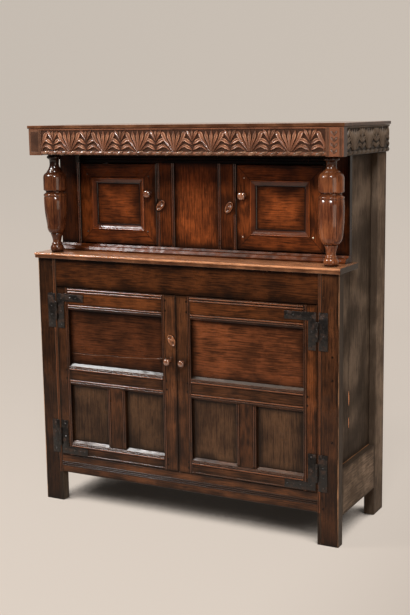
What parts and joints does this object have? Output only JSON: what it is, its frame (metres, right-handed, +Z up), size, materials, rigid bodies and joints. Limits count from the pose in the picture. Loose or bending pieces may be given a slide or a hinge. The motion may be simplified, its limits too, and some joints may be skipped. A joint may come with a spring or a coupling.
{
  "type": "press cupboard",
  "caption": "Joined oak press cupboard: a recessed upper stage behind turned pillars under a deep frieze, over a ledge and a lower case, with framed panelled doors on iron hinges and pins.",
  "frame": {"origin": "on the floor under the middle of the whole piece, counting the lower knobs", "axes": "+Z up, +Y towards the back, +X to the right of someone facing the doors"},
  "size_m": [1.35, 0.519, 1.55],
  "materials": {
    "polished_oak": "old dark oak with a wax polish",
    "panel_oak": "warmer oak panels with a wax polish",
    "worn_oak": "dry grey-brown oak on the sides, back and floor",
    "turned_oak": "polished turned oak",
    "wrought_iron": "blackened wrought iron"
  },
  "bodies": {
    "carcase": {"front_stile_left": "polished_oak", "front_stile_right": "polished_oak", "rear_stile_left": "worn_oak", "rear_stile_right": "worn_oak", "lower_top_rail": "polished_oak", "lower_bottom_rail": "polished_oak", "side_bottom_rail_left": "worn_oak", "side_bottom_rail_right": "worn_oak", "side_board_left": "worn_oak", "side_board_right": "worn_oak", "back_boards": "worn_oak", "cupboard_floor": "worn_oak", "ledge_board": "polished_oak", "upper_stile_left": "polished_oak", "upper_stile_right": "polished_oak", "upper_top_rail": "polished_oak", "upper_bottom_rail": "polished_oak", "muntin_left": "polished_oak", "muntin_right": "polished_oak", "upper_centre_panel": "panel_oak", "soffit_board": "polished_oak", "pillar_left": "turned_oak", "pillar_right": "turned_oak", "frieze_front": "polished_oak", "frieze_side_left": "worn_oak", "frieze_side_right": "worn_oak", "top_board": "worn_oak", "left_top_hinge_post_leaf": "wrought_iron", "left_bottom_hinge_post_leaf": "wrought_iron", "right_top_hinge_post_leaf": "wrought_iron", "right_bottom_hinge_post_leaf": "wrought_iron"},
    "lower_door_left": {"lower_door_left_hinge_stile": "polished_oak", "lower_door_left_lock_stile": "polished_oak", "lower_door_left_top_rail": "polished_oak", "lower_door_left_lower_rails": "polished_oak", "lower_door_left_upper_panel": "panel_oak", "lower_door_left_hinge_panel": "panel_oak", "lower_door_left_lock_panel": "panel_oak", "left_top_hinge_door_leaf": "wrought_iron", "left_bottom_hinge_door_leaf": "wrought_iron", "lower_knob_left": "turned_oak"},
    "lower_door_right": {"lower_door_right_hinge_stile": "polished_oak", "lower_door_right_lock_stile": "polished_oak", "lower_door_right_top_rail": "polished_oak", "lower_door_right_lower_rails": "polished_oak", "lower_door_right_upper_panel": "panel_oak", "lower_door_right_hinge_panel": "panel_oak", "lower_door_right_lock_panel": "panel_oak", "right_top_hinge_door_leaf": "wrought_iron", "right_bottom_hinge_door_leaf": "wrought_iron", "lower_knob_right": "turned_oak"},
    "upper_door_left": {"upper_door_left_frame": "polished_oak", "upper_door_left_panel": "panel_oak", "upper_knob_left": "turned_oak"},
    "upper_door_right": {"upper_door_right_frame": "polished_oak", "upper_door_right_panel": "panel_oak", "upper_knob_right": "turned_oak"},
    "upper_button_left": {"upper_turn_button_left": "turned_oak"},
    "upper_button_right": {"upper_turn_button_right": "turned_oak"},
    "lower_button": {"lower_turn_button": "turned_oak"}
  },
  "joints": [
    {"name": "lower_door_left_hinge", "type": "hinge", "parent": "carcase", "child": "lower_door_left", "pos_m": [-0.571, -0.2335, 0.55], "axis": [0, 0, -1], "range_deg": [0, 165]},
    {"name": "lower_door_right_hinge", "type": "hinge", "parent": "carcase", "child": "lower_door_right", "pos_m": [0.571, -0.2335, 0.55], "axis": [0, 0, 1], "range_deg": [0, 165]},
    {"name": "upper_door_left_pins", "type": "hinge", "parent": "carcase", "child": "upper_door_left", "pos_m": [-0.5317, -0.0735, 1.233], "axis": [0, 0, -1], "range_deg": [0, 90]},
    {"name": "upper_door_right_pins", "type": "hinge", "parent": "carcase", "child": "upper_door_right", "pos_m": [0.5317, -0.0735, 1.233], "axis": [0, 0, 1], "range_deg": [0, 90]},
    {"name": "upper_button_left_turn", "type": "hinge", "parent": "carcase", "child": "upper_button_left", "pos_m": [-0.156, -0.0795, 1.232], "axis": [0, -1, 0], "continuous": true},
    {"name": "upper_button_right_turn", "type": "hinge", "parent": "carcase", "child": "upper_button_right", "pos_m": [0.1465, -0.0795, 1.232], "axis": [0, -1, 0], "continuous": true},
    {"name": "lower_button_turn", "type": "hinge", "parent": "lower_door_left", "child": "lower_button", "pos_m": [-0.0335, -0.2275, 0.726], "axis": [0, -1, 0], "continuous": true}
  ]
}
